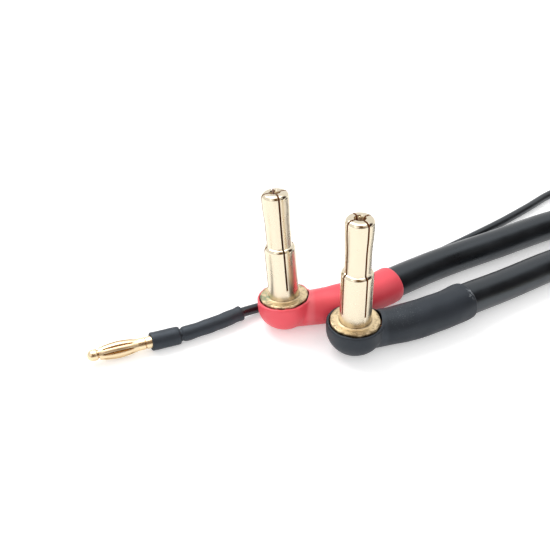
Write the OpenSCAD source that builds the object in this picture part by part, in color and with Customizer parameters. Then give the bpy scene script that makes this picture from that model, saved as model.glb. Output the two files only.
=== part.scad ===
// Battery charge lead: two right-angle stepped plugs and a balance pin on three silicone leads.
// Frame: millimetres, origin on the ground under the negative plug's axis, +Z up that axis.

/* [Stepped plugs] */
// Diameter of the thin upper contact
upper_d = 4; // [3.5:0.1:4.4]
// Length of the thin upper contact
upper_len = 8.9; // [6:0.1:12]
// Length of the upper contact that stays cylindrical
upper_straight = 3.5; // [2:0.1:5]
// How far each finger of the upper contact springs outwards at its tip
finger_splay = 0.15; // [0:0.01:0.3]
// Length of the widest band of the fingers, under the rounded tip
finger_band = 1.2; // [0.8:0.1:2]
// Diameter of the thick lower contact
lower_d = 5; // [4.6:0.1:6]
// Length of the thick lower contact
lower_len = 9.3; // [6:0.1:12]
// Rounding of the tip and of the step
edge_round = 0.7; // [0.3:0.05:0.9]
// Diameter of the flange
flange_d = 7.9; // [7:0.1:9]
// Thickness of the flange
flange_t = 0.85; // [0.5:0.05:1.2]
// Width of the four slits
slit_w = 0.25; // [0.15:0.05:0.4]
// Height above the flange at which the slits end
slit_end = 2; // [1:0.1:4]
// Diameter of the hole between the fingers
core_d = 1.5; // [1:0.1:2]

/* [Solder cups] */
// Diameter of the boss under the flange
cup_d = 5; // [4.6:0.1:5.4]
// Height of the boss under the flange
cup_h = 4; // [3.8:0.1:4.4]
// Diameter of the bared strands of a lead
strand_d = 3.2; // [2.4:0.1:3.4]
// Clearance of the strands in the cup, filled with solder
solder_gap = 0.1; // [0.05:0.01:0.2]
// Depth of the cup past the plug's axis
cup_depth = 1.2; // [0.5:0.1:1.6]

/* [Boots] */
// Outer diameter of a boot's round head
head_d = 9.1; // [8.8:0.1:10]
// Wall of a boot's round head
head_wall = 0.4; // [0.3:0.05:0.5]
// Rounding of the head's lower edge
head_round = 3.9; // [3:0.1:4]
// Floor of a boot's head
head_floor = 0.35; // [0.3:0.05:0.6]
// How far the head's rim stays below the top of the flange
rim_drop = 0.4; // [0.2:0.05:0.8]
// Wall of a boot's tube
boot_wall = 0.32; // [0.25:0.01:0.5]
// Clearance of a boot's tube round its lead
boot_gap = 0.08; // [0.04:0.01:0.15]

/* [Leads] */
// Diameter of a power lead
lead_d = 5.5; // [4.6:0.1:5.6]
// Diameter of the balance lead
balance_lead_d = 1.7; // [1.3:0.1:1.8]

/* [Positive plug] */
// Distance of the positive plug to the left of the negative one
positive_left = 10.6; // [9.8:0.1:11]
// Distance of the positive plug behind the negative one
positive_back = 6.6; // [6:0.1:7]
// Lean of the positive plug to the left, in degrees
lean_left = 2.8; // [0:0.1:4]
// Lean of the positive plug to the back, in degrees
lean_back = 5.3; // [0:0.1:6]
// Turn of the slits of the negative plug, in degrees
negative_turn = 26; // [0:1:90]
// Turn of the slits of the positive plug, in degrees
positive_turn = 19; // [0:1:90]

/* [Balance pin] */
// Diameter of the ball nose
nose_d = 1.8; // [1.5:0.1:2]
// Diameter of the turned body behind the spring
body_d = 2.05; // [1.9:0.05:2.2]
// Length of pin that stands out of the collar
pin_out = 9.9; // [9:0.1:11]
// Length of the sprung cage
cage_len = 6.2; // [5.6:0.1:6.4]
// Diameter of the cage at its middle
cage_d = 2.7; // [2.4:0.05:2.9]
// Thickness of the cage's leaves
leaf_t = 0.14; // [0.1:0.01:0.2]
// Number of leaves
leaves = 8; // [6:2:10]
// Width of the slots between the leaves
leaf_gap = 0.32; // [0.2:0.02:0.4]
// Diameter of the collar
collar_d = 3.1; // [2.9:0.1:3.4]
// Length of the collar
collar_len = 5.1; // [4:0.1:6]
// Diameter of the sleeve behind the collar
sleeve_d = 2.6; // [2.4:0.1:2.8]

/* [Charger plug] */
// Length of the shell
shell_len = 14; // [10:0.5:18]
// Width of the shell across its three pins
shell_w = 20.4; // [20:0.1:22]
// Height of the shell
shell_h = 8.6; // [8:0.1:10]
// Length of the cap over the leads
cap_len = 6; // [4:0.5:8]
// Diameter of the two power pins
power_pin_d = 4; // [3.5:0.1:4.2]
// Diameter of the balance pin of the charger plug
sense_pin_d = 2; // [1.5:0.1:2.2]
// Length of the pins outside the shell
charger_pin_len = 10; // [6:0.5:14]

/* [Tie] */
// Width of the strap along the leads
tie_w = 8; // [5:0.5:12]
// Thickness of the strap
tie_t = 0.8; // [0.6:0.1:0.9]

/* [Hidden] */

$fn = 48;
eps = 0.01;
gold = [0.86, 0.70, 0.42];
copper = [0.78, 0.48, 0.30];
tin = [0.72, 0.72, 0.70];
red_shrink = [0.88, 0.22, 0.26];
black_shrink = [0.16, 0.18, 0.20];
silicone = [0.09, 0.10, 0.11];
nylon = [0.10, 0.10, 0.11];

boot_outer_d = lead_d + 2 * (boot_gap + boot_wall);
// heights of a plug in its own frame
cup_z = head_floor + 0.6;
tube_z = boot_outer_d / 2 + 0.05;
flange_z = cup_z + cup_h;
lower_z = flange_z + flange_t;
upper_z = lower_z + lower_len;
tip_z = upper_z + upper_len;
strand_z = cup_z + cup_h / 2 + 0.15;
rim_z = lower_z - rim_drop;
head_bore_r = head_d / 2 - head_wall;

// the boots and the sleeve: [start of the centre line, heading, bend to the left, length]
negative_bend = [[0.6, 0.1, tube_z], 8, 24, 19.9];
positive_bend = [[-10.1, 6.5, tube_z], 0, 37, 19.7];
sleeve_bend = [[-27.9, 3.1, 1.5], 22, 12, 10.8];

// headings of the two solder cups
negative_cup = negative_bend[1];
positive_cup = positive_bend[1] + 2;

// routes of the three leads, from the plug to the charger plug
negative_route = concat(bend_points(negative_bend, 4.9, 5), [
    [27, 11.1, 2.75], [37, 16.3, 2.75], [47, 20.8, 2.75], [58, 24.8, 2.75],
    [70, 27.8, 2.9], [84, 28.9, 3.5], [101, 28.9, 3.75], [114, 28.9, 3.5],
    [136, 30.2, 2.75], [149.2, 37.7, 2.75], [160.9, 42.5, 2.75],
    [172.6, 37.7, 2.75], [177.4, 26, 2.75], [172.6, 14.3, 2.75], [160.9, 9.5, 2.75],
    [149.2, 14.3, 2.75], [136, 21.8, 2.75], [114, 23.1, 3.5],
    [94, 23.1, 3.75], [84.4, 21.9, 4.1], [77.54, 18.28, 4.3], [73.54, 15.28, 4.3]
]);
positive_route = concat(bend_points(positive_bend, 5.2, 5), [
    [18, 18.7, 2.75], [30, 24.4, 2.75], [42, 30.1, 2.75], [53, 34, 2.75],
    [66, 35.7, 2.75], [82, 35, 3.4], [101, 34.7, 3.75], [114, 34.7, 3.5],
    [135, 37, 2.75], [145, 42.1, 2.75], [160.9, 48.8, 2.75],
    [177, 42.1, 2.75], [183.6, 26, 2.75], [177, 9.9, 2.75], [160.9, 3.2, 2.75],
    [145, 9.9, 2.75], [135, 15, 2.75], [114, 17.2, 3.5],
    [96, 17.2, 3.75], [88.5, 16.2, 4.1], [83.06, 13.42, 4.3], [77.86, 9.52, 4.3]
]);
balance_route = concat(bend_points(sleeve_bend, 0.3, 4), [
    [-14, 10.7, 0.9], [-9, 12.7, 0.85], [-3, 14.2, 0.85], [4, 16.4, 0.85],
    [11, 19.8, 0.85], [19, 24.7, 0.85], [27, 30, 0.85], [35, 35.5, 0.85], [42, 40.8, 0.85],
    [49, 46.3, 0.85], [57, 50.6, 0.85], [66, 51.3, 0.85], [75, 48.5, 0.85], [85, 42.6, 1.4],
    [96, 38.8, 3.7], [106, 38.8, 3.7], [116, 39, 2.2], [134, 41, 0.85], [142, 45, 0.85],
    [160.9, 53, 0.85], [179.9, 45, 0.85], [187.9, 26, 0.85], [179.9, 7, 0.85],
    [160.9, -1, 0.85], [142, 7, 0.85], [134, 11, 0.85], [116, 13, 2.2],
    [106, 13.2, 3.7], [97.5, 13.2, 3.7], [93.7, 12.6, 3.8], [90.5, 11, 4.1],
    [86.5, 8, 4.3], [81.7, 4.4, 4.3]
]);

// the balance pin's axis lies along its own +X, from the collar's mouth to the lead
pin_mouth = [-33, 1.5, collar_d / 2];
pin_heading = 17;
sleeve_bore_d = balance_lead_d + 0.1;
collar_bore_d = body_d + 0.1;
cage_front = pin_out - 1.9;
cage_back = cage_front - cage_len;
cage_end_r = body_d / 2;
cage_bulge = cage_d / 2 - cage_end_r;
cage_ring = 0.5;
shaft_d = 1.2;
balance_strand_d = 1.1;
balance_cup_end = collar_len - 0.8;

// the tie holds the six runs of the hank at this place
tie_at = 101;
hank_mid = 26;
hank_half_w = 13.8;
tie_bore_h = 5.9;

// the charger plug lies turned on the ground, and these are places along its own X and Y;
// the leads end in the middle of its cap
plug_turn = atan2(3, 4);
lead_end = 68;
shell_back = lead_end - cap_len / 2;
shell_front = shell_back - shell_len;
plug_mid = -38.3;
negative_y = -31.9;
positive_y = -39.1;
balance_y = -45.5;
pin_z = shell_h / 2;
shell_edge = 1.5;
contact_seat = 4;
contact_rim = 0.6;
contact_gap = 0.05;
cap_gap = 0.15;
sense_shoulder_d = sense_pin_d + 1;

function bend_radius(b) = b[3] * 180 / (PI * b[2]);
function bend_point(b, s) =
    let (r = bend_radius(b), a = b[1] + b[2] * s / b[3])
        b[0] + r * [sin(a) - sin(b[1]), cos(b[1]) - cos(a), 0];
function bend_points(b, from, count) =
    [for (i = [0 : count - 1]) bend_point(b, from + (b[3] - from) * i / (count - 1))];
function unit(v) = v / norm(v);
function heading(p, i) = unit(p[min(i + 1, len(p) - 1)] - p[max(i - 1, 0)]);
function ring(c, t, r, sides) = [
    for (k = [0 : sides - 1])
        let (a = 360 * k / sides, s = unit(cross([0, 0, 1], t)))
            c + r * (cos(a) * s + sin(a) * cross(t, s))
];

// a tube swept along all of a route's points
module swept(p, d, sides) {
    count = len(p);
    points = [for (i = [0 : count - 1]) each ring(p[i], heading(p, i), d / 2, sides)];
    walls = [
        for (i = [0 : count - 2], k = [0 : sides - 1])
            let (n = (k + 1) % sides, a = i * sides)
                [a + k, a + n, a + n + sides, a + k + sides]
    ];
    near_end = [for (k = [0 : sides - 1]) sides - 1 - k];
    far_end = [for (k = [0 : sides - 1]) (count - 1) * sides + k];
    polyhedron(points, concat([near_end, far_end], walls), convexity = 6);
}

// a round bar along a bend, longer by the angles back and ahead at its ends
module bent_bar(bend, d, back = 0, ahead = 0) {
    r = bend_radius(bend);
    h = bend[1];
    translate(bend[0] + r * [-sin(h), cos(h), 0]) rotate(h - 90 - back)
        rotate_extrude(angle = bend[2] + back + ahead) translate([r, 0]) circle(d = d);
}

// outline of a rod from z0 to z1 whose top edge is rounded
module rod_outline(r, z0, z1, round) {
    translate([0, z0]) square([r, z1 - z0 - round]);
    translate([0, z0]) square([r - round, z1 - z0]);
    translate([r - round, z1 - round]) circle(round);
}

module upper_outline() {
    r = upper_d / 2;
    wide = r + finger_splay;
    top = tip_z - edge_round;
    band_z = top - finger_band;
    polygon([[0, upper_z - 1], [r, upper_z - 1], [r, upper_z + upper_straight], [wide, band_z], [0, band_z]]);
    translate([0, band_z - eps]) square([wide, finger_band + eps]);
    translate([0, top - eps]) square([wide - edge_round, edge_round + eps]);
    translate([wide - edge_round, top]) circle(edge_round);
}

module plug_outline() {
    intersection() {
        square([flange_d, tip_z]);
        union() {
            translate([0, cup_z + 0.5]) square([cup_d / 2, cup_h - 0.5]);
            translate([0, cup_z]) square([cup_d / 2 - 0.5, cup_h]);
            translate([cup_d / 2 - 0.5, cup_z + 0.5]) circle(0.5);
            translate([0, flange_z]) square([flange_d / 2, flange_t]);
            rod_outline(lower_d / 2, flange_z, upper_z, edge_round);
            upper_outline();
        }
    }
}

// the slits are turned by turn, and the solder cup opens along cup_heading
module stepped_plug(turn, cup_heading) {
    color(gold) difference() {
        rotate_extrude() plug_outline();
        translate([0, 0, lower_z + slit_end - 0.6]) cylinder(d = core_d, h = tip_z);
        for (a = [0, 90])
            rotate(turn + a) translate([-lower_d, -slit_w / 2, lower_z + slit_end])
                cube([2 * lower_d, slit_w, tip_z]);
        rotate(cup_heading) translate([-cup_depth, 0, strand_z]) rotate([0, 90, 0])
            cylinder(d = strand_d + 2 * solder_gap, h = cup_d);
    }
}

module strands() {
    color(copper) translate([-cup_depth, 0, strand_z]) rotate([0, 90, 0])
        cylinder(d = strand_d, h = cup_depth + 5.3);
}

module solder() {
    color(tin) difference() {
        union() {
            translate([-cup_depth, 0, strand_z]) rotate([0, 90, 0])
                cylinder(d = strand_d + 2 * solder_gap, h = cup_depth + 3.2);
            translate([1.6, 0, strand_z]) rotate([0, 90, 0])
                cylinder(d1 = strand_d + 0.4, d2 = strand_d + 0.3, h = 2);
        }
        strands();
        difference() {
            translate([0, 0, cup_z - 1]) cylinder(d = cup_d, h = cup_h + 1);
            translate([-cup_depth, 0, strand_z]) rotate([0, 90, 0])
                cylinder(d = strand_d + 2 * solder_gap, h = cup_d);
        }
    }
}

// a round-bottomed head, r wide and open at the top
module head_form(r, floor_z, round, top) {
    rotate_extrude() intersection() {
        square([r, top]);
        union() {
            translate([0, floor_z + round]) square([r, top]);
            translate([0, floor_z]) square([r - round, top]);
            translate([r - round, floor_z + round]) circle(round);
        }
    }
}

module at_positive() {
    lift = 0.09;
    translate([-positive_left, positive_back, lift]) rotate([-lean_back, -lean_left, 0]) children();
}

module in_head(leaning) {
    if (leaning) at_positive() children();
    else children();
}

module boot(bend, leaning) {
    difference() {
        union() {
            in_head(leaning) head_form(head_d / 2, 0, head_round, rim_z);
            bent_bar(bend, boot_outer_d);
        }
        in_head(leaning) head_form(head_bore_r, head_floor, head_round - head_wall, tip_z);
        bent_bar(bend, lead_d + 2 * boot_gap, 0, 1);
    }
}

module negative_plug() { stepped_plug(negative_turn, negative_cup); }
module positive_plug() { at_positive() stepped_plug(positive_turn, positive_cup); }
module negative_strands() { rotate(negative_cup) strands(); }
module positive_strands() { at_positive() rotate(positive_cup) strands(); }
module negative_solder() { rotate(negative_cup) solder(); }
module positive_solder() { at_positive() rotate(positive_cup) solder(); }
module negative_boot() { color(black_shrink) boot(negative_bend, false); }
module positive_boot() { color(red_shrink) boot(positive_bend, true); }

module lead(p, d, sides) {
    color(silicone) swept(p, d, sides);
}

module negative_lead() { lead(negative_route, lead_d, 12); }
module positive_lead() { lead(positive_route, lead_d, 12); }
module balance_lead() { lead(balance_route, balance_lead_d, 8); }

module at_pin() {
    translate(pin_mouth) rotate(pin_heading) children();
}

// a rod along +X from x0 to x1
module rod(x0, x1, d) {
    translate([x0, 0, 0]) rotate([0, 90, 0]) cylinder(d = d, h = x1 - x0);
}

module balance_pin() {
    ball_x = -pin_out + nose_d / 2;
    seat_d = 2 * (cage_end_r - leaf_t);
    groove_x = -0.65;
    color(gold) at_pin() difference() {
        union() {
            translate([ball_x, 0, 0]) sphere(d = nose_d);
            rod(ball_x, ball_x + 0.3, nose_d);
            rod(ball_x, -cage_front, nose_d - 0.3);
            rod(ball_x + 0.5, -cage_front, body_d - 0.1);
            rod(-cage_front, -cage_front + cage_ring, seat_d);
            rod(-cage_front, -cage_back, shaft_d);
            rod(-cage_back - cage_ring, -cage_back, seat_d);
            rod(-cage_back, balance_cup_end, body_d);
        }
        rod(1.5, balance_cup_end + 1, balance_strand_d + 0.2);
        difference() {
            rod(groove_x, groove_x + 0.18, body_d + 1);
            rod(groove_x - 1, groove_x + 1, body_d - 0.2);
        }
    }
}

// how far the leaves bulge outwards at x, measured from the middle of the cage
function bulge(x) = cage_bulge * (1 - pow(2 * x / cage_len, 2));

// the outline of one leaf, a shallow arch along Z from the front ring to the back ring
module leaf_outline() {
    xs = [for (i = [-6 : 6]) i * cage_len / 12];
    outer = [for (x = xs) [cage_end_r + bulge(x), x]];
    inner = [for (i = [6 : -1 : -6]) [cage_end_r - leaf_t + bulge(i * cage_len / 12), i * cage_len / 12]];
    polygon(concat(outer, inner));
}

module balance_cage() {
    slot_len = cage_len - 2 * cage_ring;
    color(gold) at_pin() translate([-(cage_front + cage_back) / 2, 0, 0]) difference() {
        rotate([0, 90, 0]) rotate_extrude() leaf_outline();
        for (k = [0 : leaves / 2 - 1])
            rotate([360 * k / leaves, 0, 0])
                cube([slot_len, leaf_gap, 2 * cage_d], center = true);
    }
}

module balance_strands() {
    color(copper) at_pin() rod(1.6, collar_len - 0.15, balance_strand_d);
}

module balance_collar() {
    lip = 0.4;
    color(black_shrink) at_pin() rotate([0, 90, 0]) rotate_extrude() difference() {
        union() {
            translate([0, lip]) square([collar_d / 2, collar_len - 2 * lip]);
            square([collar_d / 2 - lip, collar_len]);
            for (z = [lip, collar_len - lip])
                translate([collar_d / 2 - lip, z]) circle(lip);
        }
        translate([0, -1]) square([collar_bore_d / 2, collar_len + 2]);
    }
}

module balance_sleeve() {
    color(black_shrink) difference() {
        bent_bar(sleeve_bend, sleeve_d);
        bent_bar(sleeve_bend, sleeve_bore_d, 1, 1);
    }
}

// a flat-sided loop with round ends, across Y, standing on the ground
module stadium(half_w, h) {
    square([2 * half_w - h, h], center = true);
    for (side = [-1, 1]) translate([side * (half_w - h / 2), 0]) circle(h / 2);
}

module hank_tie() {
    tail_w = 12;
    color([0.13, 0.14, 0.15]) translate([tie_at, hank_mid, tie_bore_h / 2 + tie_t])
        rotate([90, 0, 90]) {
            linear_extrude(tie_w, center = true) difference() {
                stadium(hank_half_w + tie_t, tie_bore_h + 2 * tie_t);
                stadium(hank_half_w, tie_bore_h);
            }
            translate([-tail_w / 2, tie_bore_h / 2 + tie_t - eps, -tie_w / 2])
                cube([tail_w, tie_t + eps, tie_w]);
        }
}

module at_charger() {
    rotate(plug_turn) children();
}

// a block along X with rounded long edges
module rounded_block(x0, x1, w, h) {
    translate([x0, plug_mid, pin_z]) rotate([90, 0, 90]) linear_extrude(x1 - x0) {
        square([w - 2 * shell_edge, h], center = true);
        square([w, h - 2 * shell_edge], center = true);
        for (y = [-1, 1], z = [-1, 1])
            translate([y * (w / 2 - shell_edge), z * (h / 2 - shell_edge)]) circle(shell_edge);
    }
}

module contact_rod(y, x0, x1, d) {
    translate([0, y, pin_z]) rod(x0, x1, d);
}

// room for the contacts: a tight bore for their roots, and a wider one for their shoulders
module contact_room(y, pin_d, shoulder_d) {
    contact_rod(y, shell_front - 1, shell_back + 1, pin_d + contact_rim + 2 * contact_gap);
    contact_rod(y, shell_front + contact_seat, shell_back + 1, shoulder_d + 2 * contact_gap);
}

module charger_shell() {
    rib_x = 1.2;
    color(nylon) at_charger() difference() {
        union() {
            rounded_block(shell_front, shell_back, shell_w - 1.2, shell_h - 1.2);
            for (x = [shell_front + 5 : 2.6 : shell_back - rib_x])
                rounded_block(x, x + rib_x, shell_w - 0.4, shell_h - 0.4);
            rounded_block(shell_front, shell_front + 3, shell_w - 0.6, shell_h);
        }
        contact_room(negative_y, power_pin_d, lead_d);
        contact_room(positive_y, power_pin_d, lead_d);
        contact_room(balance_y, sense_pin_d, sense_shoulder_d);
    }
}

module charger_cap() {
    color(nylon) at_charger() difference() {
        rounded_block(shell_back, shell_back + cap_len, shell_w, shell_h);
        for (y = [negative_y, positive_y])
            contact_rod(y, shell_back - 1, shell_back + cap_len + 1, lead_d + 2 * cap_gap);
        contact_rod(balance_y, shell_back - 1, shell_back + cap_len + 1, sense_shoulder_d + 2 * cap_gap);
    }
}

// a turned pin with a rimmed root, a shoulder in the shell and a cup that meets its lead
module charger_contact(y, pin_d, shoulder_d, slit) {
    nose = shell_front - charger_pin_len;
    color(gold) at_charger() difference() {
        union() {
            translate([nose + pin_d / 2, y, pin_z]) sphere(d = pin_d);
            contact_rod(y, nose + pin_d / 2, shell_front, pin_d);
            contact_rod(y, shell_front - 0.6, shell_back, pin_d + contact_rim);
            contact_rod(y, shell_front + contact_seat, lead_end, shoulder_d);
        }
        for (a = [45, 135])
            translate([nose - 1, y, pin_z]) rotate([a, 0, 0])
                translate([0, -slit / 2, -pin_d]) cube([charger_pin_len - 1, slit, 2 * pin_d]);
    }
}

module charger_negative_pin() { charger_contact(negative_y, power_pin_d, lead_d, slit_w); }
module charger_positive_pin() { charger_contact(positive_y, power_pin_d, lead_d, slit_w); }
module charger_balance_pin() { charger_contact(balance_y, sense_pin_d, sense_shoulder_d, 0.2); }

negative_plug();
positive_plug();
negative_strands();
positive_strands();
negative_solder();
positive_solder();
negative_boot();
positive_boot();
negative_lead();
positive_lead();
balance_lead();
balance_pin();
balance_cage();
balance_strands();
balance_collar();
balance_sleeve();
hank_tie();
charger_shell();
charger_cap();
charger_negative_pin();
charger_positive_pin();
charger_balance_pin();
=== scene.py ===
"""Battery charge lead: two right-angle stepped gold plugs, a sprung balance pin and three silicone leads."""
import math
from collections import namedtuple

import bmesh
import bpy
from bpy.props import FloatProperty, FloatVectorProperty, IntProperty, PointerProperty
from bpy.types import Operator, Panel, PropertyGroup
from mathutils import Matrix, Vector, noise


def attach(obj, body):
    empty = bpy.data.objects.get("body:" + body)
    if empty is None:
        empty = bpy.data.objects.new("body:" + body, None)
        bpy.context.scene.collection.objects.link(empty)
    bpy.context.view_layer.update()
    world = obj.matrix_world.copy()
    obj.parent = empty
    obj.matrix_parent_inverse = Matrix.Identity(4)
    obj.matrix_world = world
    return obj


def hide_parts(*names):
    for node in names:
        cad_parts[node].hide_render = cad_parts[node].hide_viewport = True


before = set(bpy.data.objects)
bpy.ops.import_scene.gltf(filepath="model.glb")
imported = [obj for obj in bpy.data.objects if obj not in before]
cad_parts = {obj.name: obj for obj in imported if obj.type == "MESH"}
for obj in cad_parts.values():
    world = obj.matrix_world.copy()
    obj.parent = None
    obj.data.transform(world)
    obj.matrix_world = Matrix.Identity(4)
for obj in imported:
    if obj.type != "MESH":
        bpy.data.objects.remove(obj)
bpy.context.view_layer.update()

bl_info = {
    "name": "Battery charge lead",
    "version": (1, 0, 0),
    "blender": (4, 5, 0),
    "location": "3D View > Sidebar > Charge lead",
    "description": "Right-angle stepped gold plugs, a balance pin and their silicone leads",
    "category": "Add Mesh",
}

MM = 0.001
BODY = "root"

# centre lines of the boots and the sleeve, in millimetres and degrees; they turn to the left
Bend = namedtuple("Bend", "start heading turn length")
NEGATIVE_BEND = Bend((0.6, 0.1, 3.2), 8, 24, 19.9)
POSITIVE_BEND = Bend((-10.1, 6.5, 3.2), 0, 37, 19.7)
SLEEVE_BEND = Bend((-27.9, 3.1, 1.5), 22, 12, 10.8)

# where the negative plug, the leaning positive plug and the balance pin stand
UPRIGHT_PLACE = Matrix.Identity(4)
LEANING_PLACE = (
    Matrix.Translation((-10.6, 6.6, 0.09))
    @ Matrix.Rotation(math.radians(-2.8), 4, "Y")
    @ Matrix.Rotation(math.radians(-5.3), 4, "X")
)
PIN_PLACE = Matrix.Translation((-33, 1.5, 1.55)) @ Matrix.Rotation(math.radians(17), 4, "Z")

# the stepped plug in millimetres: heights over its boot's foot, and radii
BOSS_BASE, FLANGE_BASE, FLANGE_TOP = 0.95, 4.95, 5.8
STEP_HEIGHT, SPLAY_BASE, TIP_HEIGHT = 15.12, 18.6, 24.0
FLANGE_RADIUS, WIDE_RADIUS, NARROW_RADIUS, HOLE_RADIUS = 3.95, 2.5, 2.0, 0.75
SLIT_FLOOR, SLIT_LENGTH, HOLE_FLOOR = 7.8, 20, 7.2
CUP_HEIGHT, CUP_RADIUS = 3.1, 1.7

# the balance pin in millimetres, from its collar's mouth: the cage's rings, and radii
CAGE_FRONT, CAGE_BACK = -8.0, -1.8
PIN_RADIUS, PIN_CORE_RADIUS = 1.02, 0.6

# the camera: place in millimetres, downward tilt and roll in degrees; then what the lamps point at
CAMERA_PLACE = Vector((-12.23, -77.062, 69.152))
CAMERA_TILT, CAMERA_ROLL = 35.165, -2.399
LAMP_TARGET = Vector((0, 10, 5))


# ---------------- lines in space

def bend_point(bend, s):
    """The point of a bent centre line at s millimetres from its start."""
    start, heading, turn, length = bend
    r = length * 180 / (math.pi * turn)
    h, a = math.radians(heading), math.radians(heading + turn * s / length)
    return Vector(start) + r * Vector((math.sin(a) - math.sin(h), math.cos(h) - math.cos(a), 0))


def bend_points(bend, first, count):
    """Evenly spaced points from first millimetres along a centre line to its end."""
    step = (bend.length - first) / (count - 1)
    return [tuple(bend_point(bend, first + step * i)) for i in range(count)]


NEGATIVE_ROUTE = bend_points(NEGATIVE_BEND, 4.9, 5) + [
    (27, 11.1, 2.75), (37, 16.3, 2.75), (47, 20.8, 2.75), (58, 24.8, 2.75),
    (70, 27.8, 2.9), (84, 28.9, 3.5), (101, 28.9, 3.75), (114, 28.9, 3.5),
    (136, 30.2, 2.75), (149.2, 37.7, 2.75), (160.9, 42.5, 2.75),
    (172.6, 37.7, 2.75), (177.4, 26, 2.75), (172.6, 14.3, 2.75), (160.9, 9.5, 2.75),
    (149.2, 14.3, 2.75), (136, 21.8, 2.75), (114, 23.1, 3.5),
    (94, 23.1, 3.75), (84.4, 21.9, 4.1), (77.54, 18.28, 4.3), (73.54, 15.28, 4.3),
]
POSITIVE_ROUTE = bend_points(POSITIVE_BEND, 5.2, 5) + [
    (18, 18.7, 2.75), (30, 24.4, 2.75), (42, 30.1, 2.75), (53, 34, 2.75),
    (66, 35.7, 2.75), (82, 35, 3.4), (101, 34.7, 3.75), (114, 34.7, 3.5),
    (135, 37, 2.75), (145, 42.1, 2.75), (160.9, 48.8, 2.75),
    (177, 42.1, 2.75), (183.6, 26, 2.75), (177, 9.9, 2.75), (160.9, 3.2, 2.75),
    (145, 9.9, 2.75), (135, 15, 2.75), (114, 17.2, 3.5),
    (96, 17.2, 3.75), (88.5, 16.2, 4.1), (83.06, 13.42, 4.3), (77.86, 9.52, 4.3),
]
BALANCE_ROUTE = bend_points(SLEEVE_BEND, 0.3, 4) + [
    (-14, 10.7, 0.9), (-9, 12.7, 0.85), (-3, 14.2, 0.85), (4, 16.4, 0.85),
    (11, 19.8, 0.85), (19, 24.7, 0.85), (27, 30, 0.85), (35, 35.5, 0.85), (42, 40.8, 0.85),
    (49, 46.3, 0.85), (57, 50.6, 0.85), (66, 51.3, 0.85), (75, 48.5, 0.85), (85, 42.6, 1.4),
    (96, 38.8, 3.7), (106, 38.8, 3.7), (116, 39, 2.2), (134, 41, 0.85), (142, 45, 0.85),
    (160.9, 53, 0.85), (179.9, 45, 0.85), (187.9, 26, 0.85), (179.9, 7, 0.85),
    (160.9, -1, 0.85), (142, 7, 0.85), (134, 11, 0.85), (116, 13, 2.2),
    (106, 13.2, 3.7), (97.5, 13.2, 3.7), (93.7, 12.6, 3.8), (90.5, 11, 4.1),
    (86.5, 8, 4.3), (81.7, 4.4, 4.3),
]


class Line:
    """A smooth line through points, with a steady frame at each distance along it."""

    def __init__(self, points, step=0.6):
        points = [Vector(p) for p in points]
        dense = [points[0]]
        for i in range(len(points) - 1):
            p1, p2 = points[i], points[i + 1]
            p0 = points[i - 1] if i else p1 + (p1 - p2)
            p3 = points[i + 2] if i + 2 < len(points) else p2 + (p2 - p1)
            t1 = math.sqrt((p1 - p0).length)
            t2 = t1 + math.sqrt((p2 - p1).length)
            t3 = t2 + math.sqrt((p3 - p2).length)
            n = max(2, round((p2 - p1).length / step))
            for k in range(1, n + 1):
                t = t1 + (t2 - t1) * k / n
                a1 = p0 * (t1 - t) / t1 + p1 * t / t1
                a2 = p1 * (t2 - t) / (t2 - t1) + p2 * (t - t1) / (t2 - t1)
                a3 = p2 * (t3 - t) / (t3 - t2) + p3 * (t - t2) / (t3 - t2)
                b1 = a1 * (t2 - t) / t2 + a2 * t / t2
                b2 = a2 * (t3 - t) / (t3 - t1) + a3 * (t - t1) / (t3 - t1)
                dense.append(b1 * (t2 - t) / (t2 - t1) + b2 * (t - t1) / (t2 - t1))
        self.points = dense
        self.at = [0.0]
        for a, b in zip(dense, dense[1:]):
            self.at.append(self.at[-1] + (b - a).length)
        self.length = self.at[-1]
        self.frames = []
        up = Vector((0, 0, 1))
        for i in range(len(dense)):
            ahead = (dense[min(i + 1, len(dense) - 1)] - dense[max(i - 1, 0)]).normalized()
            side = up.cross(ahead).normalized()
            self.frames.append((ahead, side, ahead.cross(side)))

    def place(self, s):
        """Point, side and top at s; straight on past either end."""
        if s <= 0 or s >= self.length:
            i = 0 if s <= 0 else len(self.points) - 1
            ahead, side, top = self.frames[i]
            return self.points[i] + ahead * (s - self.at[i]), side, top
        lo, hi = 0, len(self.at) - 1
        while hi - lo > 1:
            mid = (lo + hi) // 2
            lo, hi = (mid, hi) if self.at[mid] <= s else (lo, mid)
        f = (s - self.at[lo]) / (self.at[hi] - self.at[lo])
        mix = [a.lerp(b, f) for a, b in zip(self.frames[lo], self.frames[hi])]
        return self.points[lo].lerp(self.points[hi], f), mix[1].normalized(), mix[2].normalized()


# ---------------- meshes

def new_object(name, bm, transform=None):
    """A mesh object at the origin, in metres, from a bmesh in millimetres."""
    if transform:
        bm.transform(transform)
    bmesh.ops.recalc_face_normals(bm, faces=bm.faces)
    bm.transform(Matrix.Scale(MM, 4))
    mesh = bpy.data.meshes.new(name)
    bm.to_mesh(mesh)
    bm.free()
    obj = bpy.data.objects.new(name, mesh)
    bpy.context.scene.collection.objects.link(obj)
    return obj


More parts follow.
